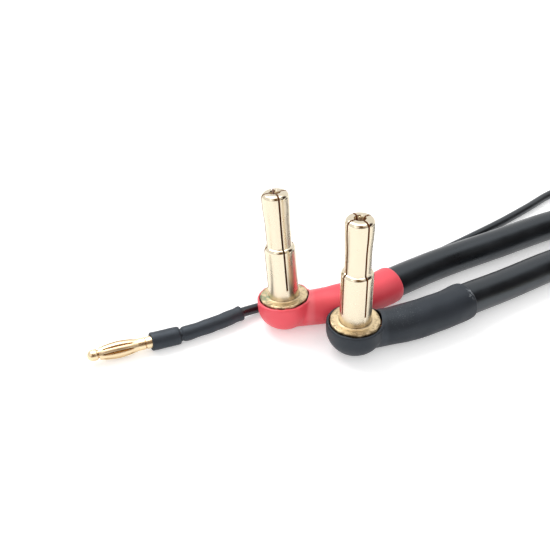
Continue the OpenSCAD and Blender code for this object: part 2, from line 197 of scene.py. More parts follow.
def turned(profile, place, sides, wobble=None, closed=False, uv=False):
    """A skin round a line: profile is a list of (distance along, radius), place gives the line.

    closed joins the last ring to the first, for a tube with a wall; otherwise a radius of 0 closes an end.
    """
    bm = bmesh.new()
    layer = bm.loops.layers.uv.new("UVMap") if uv else None
    rings = []
    for s, r in profile:
        p, side, top = place(s)
        if r <= 0:
            rings.append([bm.verts.new(p)])
            continue
        ring = []
        for k in range(sides):
            a = 2 * math.pi * k / sides
            out = r + (wobble(s, a, r) if wobble else 0)
            ring.append(bm.verts.new(p + out * (math.cos(a) * side + math.sin(a) * top)))
        rings.append(ring)
    pairs = list(zip(range(len(rings) - 1), range(1, len(rings))))
    if closed:
        pairs.append((len(rings) - 1, 0))
    for i, j in pairs:
        a, b = rings[i], rings[j]
        if len(a) == 1 and len(b) == 1:
            continue
        for k in range(sides):
            n = (k + 1) % sides
            if len(a) == 1:
                face = bm.faces.new((a[0], b[k], b[n]))
                corners = [(k, i), (k, j), (k + 1, j)]
            elif len(b) == 1:
                face = bm.faces.new((a[k], a[n], b[0]))
                corners = [(k, i), (k + 1, i), (k, j)]
            else:
                face = bm.faces.new((a[k], a[n], b[n], b[k]))
                corners = [(k, i), (k + 1, i), (k + 1, j), (k, j)]
            face.smooth = True
            if uv:
                for loop, (u, v) in zip(face.loops, corners):
                    loop[layer].uv = (u / sides, profile[v][0] / 10)
    return bm


def upright(z):
    """The line of a piece turned round +Z."""
    return Vector((0, 0, z)), Vector((1, 0, 0)), Vector((0, 1, 0))


def along_x(x):
    """The line of a piece turned round +X."""
    return Vector((x, 0, 0)), Vector((0, 1, 0)), Vector((0, 0, 1))


def arc(cx, cy, r, first, last, count):
    """Points of an arc, angles in degrees, as (along, radius)."""
    return [
        (cx + r * math.sin(math.radians(a)), cy + r * math.cos(math.radians(a)))
        for a in (first + (last - first) * i / count for i in range(count + 1))
    ]


def box_bmesh(size, centre):
    """A box in millimetres."""
    bm = bmesh.new()
    bmesh.ops.create_cube(bm, size=1)
    bm.transform(Matrix.Translation(centre) @ Matrix.Diagonal((*size, 1)))
    return bm


def cut(obj, cutters, operation="DIFFERENCE"):
    """Booleans applied at once; the cutters are removed."""
    for c in cutters:
        m = obj.modifiers.new(c.name, "BOOLEAN")
        m.operation, m.solver, m.object = operation, "EXACT", c
    flatten(obj)
    for c in cutters:
        bpy.data.objects.remove(c, do_unlink=True)
    return obj


def flatten(obj):
    """Turn the evaluated shape into the object's own mesh."""
    dg = bpy.context.evaluated_depsgraph_get()
    dg.update()
    evaluated = obj.evaluated_get(dg)
    mesh = bpy.data.meshes.new_from_object(evaluated, preserve_all_data_layers=True, depsgraph=dg)
    old = obj.data
    obj.modifiers.clear()
    obj.data = mesh
    bpy.data.meshes.remove(old)
    mesh.name = obj.name
    return obj


def soften(obj, degrees=35):
    """Smooth shading, with edges kept where the shape really turns."""
    obj.data.shade_smooth()
    obj.data.set_sharp_from_angle(angle=math.radians(degrees))
    return obj


def set_down(obj, place):
    """Move a finished mesh by a place given in millimetres."""
    obj.data.transform(Matrix.Scale(MM, 4) @ place @ Matrix.Scale(1 / MM, 4))


def attribute(obj, name, value_of, faces=False):
    """A float on every corner point, or on every face, from its place in millimetres."""
    layer = obj.data.attributes.new(name, "FLOAT", "FACE" if faces else "POINT")
    places = [f.center for f in obj.data.polygons] if faces else [v.co for v in obj.data.vertices]
    layer.data.foreach_set("value", [value_of(p / MM) for p in places])


def paint(obj, material):
    obj.data.materials.clear()
    obj.data.materials.append(material)


def finish_piece(obj, material, nodes):
    """Give a piece its finish and its body, and hide the solids that it takes the place of."""
    paint(obj, material)
    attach(obj, BODY)
    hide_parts(*nodes)


def lumps(scale, amount, seed):
    """A soft unevenness for a skin, the same on every run."""
    def wobble(s, a, r):
        p = Vector((r * math.cos(a) * scale + seed, r * math.sin(a) * scale, s * scale))
        return amount * noise.noise(p)
    return wobble


# ---------------- materials

def linear(colour):
    """Screen colour, 0 to 255, as the linear colour that Blender uses."""
    out = []
    for c in colour:
        c /= 255
        out.append(c / 12.92 if c <= 0.04045 else ((c + 0.055) / 1.055) ** 2.4)
    return (*out, 1.0)


class Nodes:
    """Short calls for building a node tree."""

    def __init__(self, tree):
        self.tree = tree

    def add(self, kind, inputs=None, **settings):
        node = self.tree.nodes.new(kind)
        for k, v in settings.items():
            setattr(node, k, v)
        for k, v in (inputs or {}).items():
            if isinstance(v, bpy.types.NodeSocket):
                self.tree.links.new(v, node.inputs[k])
            else:
                node.inputs[k].default_value = v
        return node

    def feed(self, shader, **values):
        """Link values to a shader's sockets; a _ stands for the space in a socket's name."""
        for label, value in values.items():
            self.tree.links.new(value, shader.inputs[label.replace("_", " ")])

    def place(self):
        return self.add("ShaderNodeTexCoord").outputs["Object"]

    def attribute(self, name):
        return self.add("ShaderNodeAttribute", attribute_name=name).outputs["Fac"]

    def vector(self, operation, a, b):
        """The number that a vector operation gives."""
        return self.add("ShaderNodeVectorMath", {0: a, 1: b}, operation=operation).outputs["Value"]

    def math(self, operation, a, b, clamp=False):
        return self.add("ShaderNodeMath", {0: a, 1: b}, operation=operation, use_clamp=clamp).outputs[0]

    def add_up(self, a, b, clamp=False):
        return self.math("ADD", a, b, clamp)

    def less(self, a, b):
        return self.math("SUBTRACT", a, b)

    def times(self, a, b):
        return self.math("MULTIPLY", a, b)

    def mix(self, factor, a, b):
        """Colour a, turned into colour b by the factor."""
        node = self.add("ShaderNodeMix", data_type="RGBA", blend_type="MIX")
        for socket, value in ((node.inputs[0], factor), (node.inputs[6], a), (node.inputs[7], b)):
            if isinstance(value, bpy.types.NodeSocket):
                self.tree.links.new(value, socket)
            else:
                socket.default_value = value
        return node.outputs[2]

    def band(self, value, low, high, soft):
        """1 between low and high, falling off over soft."""
        return self.times(self.ramp(value, low - soft, low), self.ramp(value, high, high + soft, 1.0, 0.0))

    def noise(self, vector, scale, detail=2.0, rough=0.5):
        return self.add(
            "ShaderNodeTexNoise",
            {"Vector": vector, "Scale": scale, "Detail": detail, "Roughness": rough},
        ).outputs[0]

    def ramp(self, value, low, high, start=0.0, end=1.0):
        """start at low, end at high and a straight change between."""
        return self.add("ShaderNodeMapRange", {0: value, 1: low, 2: high, 3: start, 4: end}).outputs[0]


def grain_group():
    """Fine grain and broad cloudiness of a drawn or shrunk surface, built once."""
    name = "Surface grain"
    if name in bpy.data.node_groups:
        return bpy.data.node_groups[name]
    tree = bpy.data.node_groups.new(name, "ShaderNodeTree")
    for label, kind, default in (
        ("Colour", "Color", (1, 1, 1, 1)), ("Cloud", "Float", 0.2),
        ("Cloud scale", "Float", 300.0), ("Grain scale", "Float", 6000.0),
    ):
        socket = tree.interface.new_socket(label, in_out="INPUT", socket_type="NodeSocket" + kind)
        socket.default_value = default
    for label, kind in (("Colour", "Color"), ("Height", "Float"), ("Cloud", "Float")):
        tree.interface.new_socket(label, in_out="OUTPUT", socket_type="NodeSocket" + kind)
    n = Nodes(tree)
    given, out = tree.nodes.new("NodeGroupInput").outputs, tree.nodes.new("NodeGroupOutput").inputs
    place = n.place()
    cloud = n.noise(place, given["Cloud scale"], 3.0)
    fine = n.noise(place, given["Grain scale"], 4.0, 0.6)
    shade = n.add_up(n.times(n.less(cloud, 0.5), given["Cloud"]), 1.0)
    tone = n.add("ShaderNodeVectorMath", {0: given["Colour"], 3: shade}, operation="SCALE").outputs[0]
    for label, value in (("Colour", tone), ("Height", fine), ("Cloud", cloud)):
        tree.links.new(value, out[label])
    return tree


def grain(n, colour, cloud, scale):
    """The grain group placed in a material: colour from 0 to 1, its cloudiness and the grain's scale."""
    node = n.add("ShaderNodeGroup", node_tree=grain_group())
    node.inputs["Colour"].default_value = (*colour[:3], 1)
    node.inputs["Cloud"].default_value = cloud
    node.inputs["Grain scale"].default_value = scale
    return node.outputs


def start_material(name, **constants):
    """An empty material with its shader; a _ stands for the space in a socket's name."""
    material = bpy.data.materials.new(name)
    material.use_nodes = True
    material.node_tree.nodes.clear()
    n = Nodes(material.node_tree)
    shader = n.add("ShaderNodeBsdfPrincipled")
    for label, value in constants.items():
        shader.inputs[label.replace("_", " ")].default_value = value
    output = n.add("ShaderNodeOutputMaterial")
    n.tree.links.new(shader.outputs[0], output.inputs[0])
    return material, n, shader


FINE = 0.00003  # depth of a fine grain, in metres
COOL = (0.8, 0.9, 1, 1)  # tint of a dark piece's highlights


def bump(n, shader, height, strength, depth=FINE):
    node = n.add("ShaderNodeBump", {"Strength": strength, "Distance": depth, "Height": height})
    n.feed(shader, Normal=node.outputs[0])


def soft_material(name, colour, cloud, roughness, scale, strength, specular, tint=COOL, marks=None):
    """Heat-shrink tube, silicone or moulded nylon: one colour with cloudiness and a fine grain.

    marks, where a piece has them, takes the nodes and the colour and gives the marked colour.
    """
    material, n, shader = start_material(name, Specular_IOR_Level=specular, Specular_Tint=tint)
    g = grain(n, colour, cloud, scale)
    tone = marks(n, g["Colour"]) if marks else g["Colour"]
    rough = n.ramp(g["Cloud"], 0.3, 0.7, roughness - 0.05, roughness + 0.07)
    n.feed(shader, Base_Color=tone, Roughness=rough)
    bump(n, shader, g["Height"], strength)
    return material


def gold_material(name, colour, stained):
    """Bright gold plate with painted shade in the slits and the bore and a painted dark line at the barrel's
    foot, dull and flecked on the flange.
    """
    material, n, shader = start_material(name, Metallic=1.0)
    g = grain(n, colour, 0.06, 9000.0)
    place = n.place()
    height, out, inside = n.attribute("height"), n.attribute("out"), n.attribute("inside")
    flange = n.band(height, FLANGE_BASE - 0.55, FLANGE_TOP + 0.03, 0.05)
    edge = n.times(flange, n.ramp(out, FLANGE_RADIUS - 0.45, FLANGE_RADIUS))
    # painted shade: a thin dark brown line in the corner where the barrel meets the flange
    foot = n.times(
        n.band(height, FLANGE_TOP - 0.1, FLANGE_TOP + 0.12, 0.1), n.band(out, 0.0, WIDE_RADIUS + 0.1, 0.16))
    flecks = n.ramp(n.noise(place, 1700.0, 3.0, 0.7), 0.5, 0.62)
    flecked = n.times(flange, flecks)

    tone = n.mix(n.times(flange, 0.6), g["Colour"], linear((222, 194, 142)))
    tone = n.mix(n.times(flecked, n.ramp(out, 2.6, 3.9, 0.25, 0.7)), tone, linear((120, 98, 60)))
    tone = n.mix(n.times(edge, n.ramp(n.noise(place, 700.0), 0.4, 0.66)), tone, linear((96, 78, 52)))
    tone = n.mix(n.times(foot, 0.45), tone, linear((86, 58, 26)))
    if stained:
        spot = n.times(n.ramp(n.vector("DISTANCE", place, stained), 2.1 * MM, 0.8 * MM), flange)
        spot = n.times(spot, n.ramp(n.noise(place, 1400.0, 3.0), 0.42, 0.6))
        tone = n.mix(n.times(spot, 0.7), tone, linear((104, 140, 112)))
    # painted shade: brown, less metallic and rougher on the slits' walls and, fainter, in the bore
    tone = n.mix(inside, tone, linear((150, 96, 52)))

    curved = n.add_up(
        n.band(height, STEP_HEIGHT - 0.77, STEP_HEIGHT + 0.03, 0.06),
        n.ramp(height, TIP_HEIGHT - 0.8, TIP_HEIGHT - 0.65), clamp=True)
    rough = n.add_up(n.ramp(g["Cloud"], 0.3, 0.7, 0.24, 0.31), n.times(flange, 0.12))
    rough = n.less(rough, n.times(curved, 0.14))
    rough = n.add_up(rough, n.times(inside, 0.4))
    metal = n.less(1.0, n.times(flecked, 0.4))
    metal = n.less(metal, n.times(inside, 0.6))
    n.feed(shader, Base_Color=tone, Roughness=rough, Metallic=metal)
    bump(n, shader, n.add_up(n.times(g["Height"], 0.15), flecked), 0.35)
    return material


def plain_gold(name, colour, roughness):
    """Gold of the small turned pins, with brown painted shade on the core between the leaves and in the
    grooves.
    """
    material, n, shader = start_material(name, Metallic=1.0)
    g = grain(n, colour, 0.08, 9000.0)
    tone = n.mix(n.attribute("deep"), g["Colour"], linear((172, 120, 60)))
    rough = n.ramp(g["Cloud"], 0.3, 0.7, roughness - 0.04, roughness + 0.04)
    n.feed(shader, Base_Color=tone, Roughness=rough)
    bump(n, shader, g["Height"], 0.06)
    return material


# ---------------- settings

class PlugSettings(PropertyGroup):
    """Sizes and colour of the gold contacts."""
    gold: FloatVectorProperty(
        name="Gold", description="Colour of the gold plate", subtype="COLOR", size=3, min=0, max=1,
        default=(0.775, 0.685, 0.525))
    slit: FloatProperty(
        name="Slit", description="Width of the slits between the fingers, in millimetres",
        default=0.3, min=0.1, max=0.5)
    splay: FloatProperty(
        name="Splay", description="How far the fingers spring outwards at the tip, in millimetres",
        default=0.15, min=0, max=0.3)
    sides: IntProperty(name="Sides", description="Facets round a plug", default=144, min=24, max=256)


class BootSettings(PropertyGroup):
    """Colours and fineness of the heat-shrink boots."""
    red: FloatVectorProperty(
        name="Red", description="Colour of the positive boot", subtype="COLOR", size=3, min=0, max=1,
        default=(0.90, 0.070, 0.100))
    black: FloatVectorProperty(
        name="Black", description="Colour of the negative boot", subtype="COLOR", size=3, min=0, max=1,
        default=(0.014, 0.0175, 0.024))
    short: FloatProperty(
        name="Shrinkage", description="How far the red boot has shrunk back along its lead, in millimetres",
        default=0.4, min=0, max=1)
    fineness: FloatProperty(
        name="Fineness", description="Size of the cells that the skin is rebuilt from, in millimetres",
        default=0.15, min=0.1, max=0.5)


class LeadSettings(PropertyGroup):
    """The silicone leads."""
    silicone: FloatVectorProperty(
        name="Silicone", description="Colour of the leads", subtype="COLOR", size=3, min=0, max=1,
        default=(0.003, 0.0035, 0.0045))
    power: FloatProperty(
        name="Power lead", description="Diameter of the two power leads, in millimetres",
        default=5.5, min=4, max=6)
    balance: FloatProperty(
        name="Balance lead", description="Diameter of the balance lead, in millimetres",
        default=1.7, min=1, max=2.5)


class PinSettings(PropertyGroup):
    """The balance pin's gold and its sprung cage."""
    gold: FloatVectorProperty(
        name="Gold", description="Colour of the small pins", subtype="COLOR", size=3, min=0, max=1,
        default=(0.82, 0.66, 0.43))
    leaves: IntProperty(name="Leaves", description="Number of leaves of the cage", default=8, min=4, max=12)
    leaf_width: FloatProperty(
        name="Leaf width", description="Width of a leaf, in millimetres", default=0.64, min=0.2, max=1)
    cage: FloatProperty(
        name="Cage", description="Diameter of the cage at its middle, in millimetres",
        default=2.7, min=2.2, max=3)


class StageSettings(PropertyGroup):
    """Camera and light."""
    lens: FloatProperty(
        name="Lens", description="Focal length on a 36 mm sensor", default=41.695, min=10, max=200)
    key: FloatProperty(
        name="Key light", description="Power of the key light in watts", default=0.62, min=0)
    fill: FloatProperty(
        name="Fill light", description="Power of the fill lights in watts", default=0.1, min=0)
    sky: FloatProperty(
        name="Sky", description="Strength of the even light from all round", default=0.76, min=0)
    floor_lift: FloatProperty(
        name="Floor lift", description="What is added to the floor's own brightness where it is seen",
        default=0.35, min=0)


class ChargeLeadSettings(PropertyGroup):
    plug: PointerProperty(type=PlugSettings)
    boot: PointerProperty(type=BootSettings)
    lead: PointerProperty(type=LeadSettings)
    pin: PointerProperty(type=PinSettings)
    stage: PointerProperty(type=StageSettings)


# ---------------- stage and pieces

class LEAD_OT_stage(Operator):
    """Camera, floor, lamps and sky"""
    bl_idname = "charge_lead.stage"
    bl_label = "Stage"

    def execute(self, context):
        settings = context.scene.charge_lead.stage
        scene = context.scene
        self.camera(scene, settings)
        self.floor(settings)
        self.lamps(scene, settings)
        self.sky(scene, settings)
        scene.view_settings.view_transform = "Standard"
        return {"FINISHED"}

    def camera(self, scene, settings):
        tilt, roll = math.radians(CAMERA_TILT), math.radians(CAMERA_ROLL)
        ahead = Vector((0, math.cos(tilt), -math.sin(tilt)))
        right = Vector((1, 0, 0))
        up = right.cross(ahead)
        x = right * math.cos(roll) + up * math.sin(roll)
        y = up * math.cos(roll) - right * math.sin(roll)
        data = bpy.data.cameras.new("camera")
        data.lens, data.sensor_width = settings.lens, 36
        data.clip_start, data.clip_end = 0.005, 20
        camera = bpy.data.objects.new("camera", data)
        basis = Matrix((x, y, -ahead)).transposed().to_4x4()
        camera.matrix_world = Matrix.Translation(CAMERA_PLACE * MM) @ basis
        scene.collection.objects.link(camera)
        scene.camera = camera

    def floor(self, settings):
        """White paper, a hair under the ground and wide enough to have no visible edge."""
        bm = bmesh.new()
        bmesh.ops.create_circle(bm, cap_ends=True, segments=64, radius=4000)
        floor = new_object("floor", bm, Matrix.Translation((0, 0, -0.02)))
        material, n, shader = start_material(
            "floor paper", Roughness=0.55, Specular_IOR_Level=0.25, Emission_Color=(1, 1, 1, 1))
        tone = n.mix(n.noise(n.place(), 12.0), (0.90, 0.90, 0.90, 1), (0.92, 0.92, 0.92, 1))
        ray = n.add("ShaderNodeLightPath").outputs
        seen = n.add_up(ray["Is Camera Ray"], ray["Is Glossy Ray"], clamp=True)
        seen = n.add_up(seen, ray["Is Transmission Ray"], clamp=True)
        n.feed(shader, Base_Color=tone, Emission_Strength=n.times(seen, settings.floor_lift))
        paint(floor, material)

    def lamps(self, scene, settings):
        for name, place, size, power in (
            ("key lamp", (-150, 170, 320), 220, settings.key),
            ("fill lamp", (180, -160, 240), 260, settings.fill),
            ("front lamp", (-160, -240, 200), 220, settings.fill),
        ):
            data = bpy.data.lights.new(name, "AREA")
            data.shape, data.size, data.energy = "DISK", size * MM, power
            lamp = bpy.data.objects.new(name, data)
            lamp.location = Vector(place) * MM
            lamp.rotation_euler = (LAMP_TARGET - Vector(place)).to_track_quat("-Z", "Y").to_euler()
            scene.collection.objects.link(lamp)

    def sky(self, scene, settings):
        """Even white light; for reflections only, brighter overhead and with two dark patches."""
        world = bpy.data.worlds.new("sky")
        world.use_nodes = True
        world.node_tree.nodes.clear()
        n = Nodes(world.node_tree)
        ray = n.add("ShaderNodeLightPath").outputs
        seen = n.add_up(ray["Is Camera Ray"], ray["Is Transmission Ray"], clamp=True)
        glossy = ray["Is Glossy Ray"]
        strength = n.add_up(settings.sky, n.times(seen, 1 - settings.sky))
        strength = n.add_up(strength, n.times(glossy, 1 - settings.sky))
        way = n.add("ShaderNodeTexCoord").outputs["Generated"]
        above = n.add("ShaderNodeSeparateXYZ", {0: way}).outputs["Z"]
        strength = n.add_up(strength, n.times(n.ramp(above, 0.78, 0.95, 0.0, 1.9), glossy))
        tone = (1, 1, 1, 1)
        for middle, low, high, colour in (
            ((0.86, -0.25, 0.45), 0.80, 0.92, (0.05, 0.035, 0.03, 1)),
            ((0.10, -0.80, 0.59), 0.72, 0.87, (0.17, 0.10, 0.05, 1)),
        ):
            near = n.ramp(n.vector("DOT_PRODUCT", way, middle), low, high)
            tone = n.mix(n.times(near, glossy), tone, colour)
        background = n.add("ShaderNodeBackground", {"Color": tone, "Strength": strength})
        output = n.add("ShaderNodeOutputWorld")
        n.tree.links.new(background.outputs[0], output.inputs[0])
        scene.world = world


class LEAD_OT_leads(Operator):
    """The two power leads and the balance lead"""
    bl_idname = "charge_lead.leads"
    bl_label = "Silicone leads"

    def execute(self, context):
        settings = context.scene.charge_lead.lead
        material = soft_material(
            "silicone", settings.silicone, 0.25, 0.32, scale=2500.0, strength=0.05, specular=0.75)
        thick, thin = (settings.power, 1.0, 40), (settings.balance, 0.7, 24)
        for name, route, bend, (d, step, sides), length, others in (
            ("negative_lead", NEGATIVE_ROUTE, NEGATIVE_BEND, thick, 0.3,
             ["charger_negative_pin", "charger_shell", "charger_cap", "hank_tie"]),
            ("positive_lead", POSITIVE_ROUTE, POSITIVE_BEND, thick, 0.33, ["charger_positive_pin"]),
            ("balance_lead", BALANCE_ROUTE, SLEEVE_BEND, thin, 0.375, ["charger_balance_pin"]),
        ):
            line = Line(route)
            count = round(line.length / step)
            wall = [(line.length * i / count, d / 2) for i in range(count + 1)]
            profile = [(0, 0)] + wall + [(line.length, 0)]
            obj = new_object(name + "_wire", turned(profile, line.place, sides, uv=True))
            finish_piece(soften(obj), material, [name])
        return {"FINISHED"}


def plug_profile(splay):
    """Half outline of a stepped plug: height and radius."""
    foot, edge, shoulder = 0.3, 0.12, 0.7
    rim, tip = FLANGE_RADIUS - edge, NARROW_RADIUS + splay
    boss = WIDE_RADIUS - foot
    points = [(BOSS_BASE, 0), (BOSS_BASE, boss)] + arc(BOSS_BASE + foot, boss, foot, -90, 0, 4)
    points += [(FLANGE_BASE, r) for r in (WIDE_RADIUS, 3.6, rim)]
    points += arc(FLANGE_BASE + edge, rim, edge, -90, 0, 3)[1:] + arc(FLANGE_TOP - edge, rim, edge, 0, 90, 3)
    points += [(FLANGE_TOP, r) for r in (3.4, 3.0, 2.62)] + [(5.86, 2.53)]
    points += [(z, WIDE_RADIUS) for z in (5.97, 6.5, 8, 10, 12, 13.6)]
    points += arc(14.4, WIDE_RADIUS - shoulder, shoulder, 0, 70, 8) + [(STEP_HEIGHT, NARROW_RADIUS + 0.01)]
    points += [(z, NARROW_RADIUS) for z in (15.3, 16, 17.5, SPLAY_BASE)]
    for i in range(1, 7):
        f = i / 6
        points.append((SPLAY_BASE + 3.5 * f, NARROW_RADIUS + splay * f * f * (3 - 2 * f)))
    points += [(22.7, tip)] + arc(TIP_HEIGHT - shoulder, tip - shoulder, shoulder, 0, 90, 10)
    return points + [(TIP_HEIGHT, 1.0), (TIP_HEIGHT, 0)]


class LEAD_OT_stepped_plugs(Operator):
    """The two stepped gold plugs with their slit fingers"""
    bl_idname = "charge_lead.stepped_plugs"
    bl_label = "Stepped plugs"

    def execute(self, context):
        settings = context.scene.charge_lead.plug
        stain = LEANING_PLACE @ Vector((-2.9, -0.4, FLANGE_TOP)) * MM
        for name, slit_turn, cup_turn, place, stained in (
            ("negative_plug", 28, 8, UPRIGHT_PLACE, None),
            ("positive_plug", 15, 2, LEANING_PLACE, tuple(stain)),
        ):
            obj = self.contact(name, settings, slit_turn, cup_turn)
            set_down(obj, place)
            finish_piece(obj, gold_material(name + " gold", settings.gold, stained), [name])
        return {"FINISHED"}

    def contact(self, name, settings, slit_turn, cup_turn):
        """One plug, bored and slit, with its turns in degrees."""
        obj = new_object(name + "_contact", turned(plug_profile(settings.splay), upright, settings.sides))
        mouth = TIP_HEIGHT - 0.45
        hole = [(HOLE_FLOOR, 0), (HOLE_FLOOR, HOLE_RADIUS), (mouth, HOLE_RADIUS),
                (mouth + 0.75, HOLE_RADIUS + 0.25), (mouth + 0.75, 0)]
        cutters = [new_object("hole", turned(hole, upright, 48))]
        for quarter in (0, 90):
            slit = box_bmesh((9, settings.slit, SLIT_LENGTH), (0, 0, SLIT_FLOOR + SLIT_LENGTH / 2))
            slit_place = Matrix.Rotation(math.radians(slit_turn + quarter), 4, "Z")
            cutters.append(new_object("slit", slit, slit_place))
        cup = turned([(-1.2, 0), (-1.2, CUP_RADIUS), (4, CUP_RADIUS), (4, 0)], along_x, 40)
        cup_place = Matrix.Rotation(math.radians(cup_turn), 4, "Z") @ Matrix.Translation((0, 0, CUP_HEIGHT))
        cutters.append(new_object("cup", cup, cup_place))
        cut(obj, cutters)
        self.chamfer(obj)
        soften(obj, 40)
        attribute(obj, "height", lambda p: p.z)
        attribute(obj, "out", lambda p: math.hypot(p.x, p.y))
        half = settings.slit / 2 + 0.012  # reaches just into the rounded edge
        unturn = Matrix.Rotation(math.radians(-slit_turn), 4, "Z")

        # painted shade: 1 on the slits' walls and the inner part of their rounded edge, 0.45 in the bore
        def inside(p):
            if math.hypot(p.x, p.y) < HOLE_RADIUS + 0.05 and HOLE_FLOOR - 0.2 < p.z < mouth + 0.05:
                return 0.45
            x, y, z = unturn @ p
            return 1.0 if z > SLIT_FLOOR - 0.2 and min(abs(x), abs(y)) < half else 0.0

        attribute(obj, "inside", inside, faces=True)
        return obj

    def chamfer(self, obj):
        """A hair of rounding along the slits, so that their edges catch the light."""
        m = obj.modifiers.new("edges", "BEVEL")
        m.width, m.segments = 0.03 * MM, 2
        m.limit_method, m.angle_limit = "ANGLE", math.radians(45)
        flatten(obj)


class LEAD_OT_solder(Operator):
    """Strands and solder in the plugs' cups"""
    bl_idname = "charge_lead.solder"
    bl_label = "Strands and solder"

    def execute(self, context):
        copper, n, shader = start_material("strands", Metallic=1.0)
        wave = n.add(
            "ShaderNodeTexWave", {"Vector": n.place(), "Scale": 1800.0, "Distortion": 1.5},
            bands_direction="Z").outputs[0]
        tone = n.mix(wave, linear((120, 66, 36)), linear((222, 160, 118)))
        n.feed(shader, Base_Color=tone, Roughness=n.ramp(wave, 0, 1, 0.4, 0.25))
        bump(n, shader, wave, 0.5, 0.00008)

        tin, n, shader = start_material("solder", Metallic=1.0)
        cloud = n.noise(n.place(), 900.0, 4.0)
        tone = n.mix(cloud, linear((150, 150, 146)), linear((205, 204, 198)))
        n.feed(shader, Base_Color=tone, Roughness=n.ramp(cloud, 0.3, 0.7, 0.25, 0.5))
        bump(n, shader, cloud, 0.3, 0.00005)

        paint_solids(copper, "negative_strands", "positive_strands", "balance_strands")
        paint_solids(tin, "negative_solder", "positive_solder")
        return {"FINISHED"}


def paint_solids(material, *names):
    """Give solids that are shown as they are their finish."""
    for name in names:
        paint(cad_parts[name], material)


class LEAD_OT_boots(Operator):
    """The black and the red heat-shrink boot"""
    bl_idname = "charge_lead.boots"
    bl_label = "Boots"

    def execute(self, context):
        settings = context.scene.charge_lead.boot
        for name, slot, bend, place, seed, shrunk, look in (
            ("negative_boot", "black_shrink", NEGATIVE_BEND, UPRIGHT_PLACE, 3.0, 0,
             (settings.black, 0.3, 0.5, 3500.0, 0.08, 0.45, (0.85, 0.93, 1, 1), self.black_marks)),
            ("positive_boot", "red_shrink", POSITIVE_BEND, LEANING_PLACE, 11.0, settings.short,
             (settings.red, 0.12, 0.42, 3500.0, 0.08, 0.9, (1, 0.8, 0.8, 1), self.red_marks)),
        ):
            obj = self.skin(name + "_shrink", bend, bend.length - shrunk, place, seed, settings.fineness)
            finish_piece(soften(obj, 50), soft_material(name + " shrink", *look), [name])
        return {"FINISHED"}

    def red_marks(self, n, colour):
        return self.neck(n, colour, POSITIVE_BEND, 0.26, linear((255, 150, 156)))

    def black_marks(self, n, colour):
        """A paler neck, pale scuffs at the boot's mouth and dust behind its flange."""
        colour = self.neck(n, colour, NEGATIVE_BEND, 0.15, linear((92, 98, 106)))
        place = n.place()
        mouth = bend_point(NEGATIVE_BEND, 19.5) + Vector((0.8, -1.3, 2.75))
        behind = bend_point(NEGATIVE_BEND, 7.0) + Vector((0, -0.5, 3.1))
        for spot, reach, scale, low, weight in (
            (mouth, 1.3 * MM, 1900.0, 0.52, 0.6),
            (behind, 4.0 * MM, 5200.0, 0.6, 0.3),
        ):
            near = n.ramp(n.vector("DISTANCE", place, tuple(spot * MM)), reach, reach * 0.35)
            mask = n.times(near, n.ramp(n.noise(place, scale, 3.0, 0.7), low, low + 0.1))
            colour = n.mix(n.times(mask, weight), colour, linear((170, 174, 178)))
        return colour

    def neck(self, n, colour, bend, weight, pale):
        """The stretched skin where the tube leaves the head is a little paler."""
        heading = math.radians(bend.heading)
        along = Vector((math.cos(heading), math.sin(heading), 0))
        first = along.dot(Vector(bend.start)) + 3.2
        reach = n.vector("DOT_PRODUCT", n.place(), along)
        band = n.band(reach, first * MM, (first + 0.6) * MM, 0.6 * MM)
        return n.mix(n.times(band, weight), colour, pale)

    def skin(self, name, bend, end, place, seed, fineness):
        """Head and tube joined, rebuilt as one shrunk skin and hollowed out."""
        line = Line([bend_point(bend, bend.length * i / 10) for i in range(11)])
        wave = lumps(0.35, 0.16, seed)
        obj = self.head(name, place, seed, wave)
        cut(obj, [self.tube(line, end, wave)], "UNION")
        m = obj.modifiers.new("rebuild", "REMESH")
        m.mode, m.voxel_size, m.use_smooth_shade = "VOXEL", fineness * MM, True
        m = obj.modifiers.new("relax", "SMOOTH")
        m.factor, m.iterations = 0.5, 5
        flatten(obj)

        wall, dome, past = 0.35, 3.5, 30
        hollow = [(wall, 0)] + arc(wall + dome, 0.65, dome, -90, 0, 10) + [(past, 4.15), (past, 0)]
        bowl = new_object("bowl", turned(hollow, upright, 72), place)
        first, last, bore_radius = -0.05, end + 1, 2.83
        bore = [(first + (last - first) * i / 24, bore_radius) for i in range(25)]
        bore = turned([(first, 0)] + bore + [(last, 0)], line.place, 48)
        return cut(obj, [bowl, new_object("bore", bore)])

    def head(self, name, place, seed, wave):
        """The round head, with a slightly uneven rim round the flange."""
        rim = 5.45
        outline = [(0, 0), (0, 0.3)] + arc(3.9, 0.65, 3.9, -90, 0, 14)
        outline += [(4.7, 4.56), (rim, 4.5), (rim, 2), (rim, 0)]
        bm = turned(outline, upright, 72, lambda s, a, r: 0.5 * wave(s, a, r))
        for v in bm.verts:
            if v.co.z > rim - 0.1 and v.co.to_2d().length > 3:
                v.co.z += 0.16 * noise.noise(Vector((v.co.x * 1.1 + seed, v.co.y * 1.1, 0)))
        return new_object(name, bm, place)

    def tube(self, line, end, wave):
        """The tube along the lead, rounded over at its mouth."""
        outline = [(0.0, 0), (0.0, 3.0), (4.2, 2.98), (5.6, 3.02), (7.5, 3.12), (10, 3.14), (13, 3.12),
                   (16, 3.13), (end - 2.2, 3.16), (end - 0.9, 3.2), (end - 0.25, 3.17), (end, 3.02), (end, 0)]
        rings = []
        for (s0, r0), (s1, r1) in zip(outline, outline[1:]):
            n = max(1, round((s1 - s0) / 0.5))
            rings += [(s0 + (s1 - s0) * i / n, r0 + (r1 - r0) * i / n) for i in range(n)]
        rings.append(outline[-1])

        def calmer_at_mouth(s, a, r):
            return (0.7 if s < end - 1 else 0.3) * wave(s, a, r)

        return new_object("tube", turned(rings, line.place, 64, calmer_at_mouth))


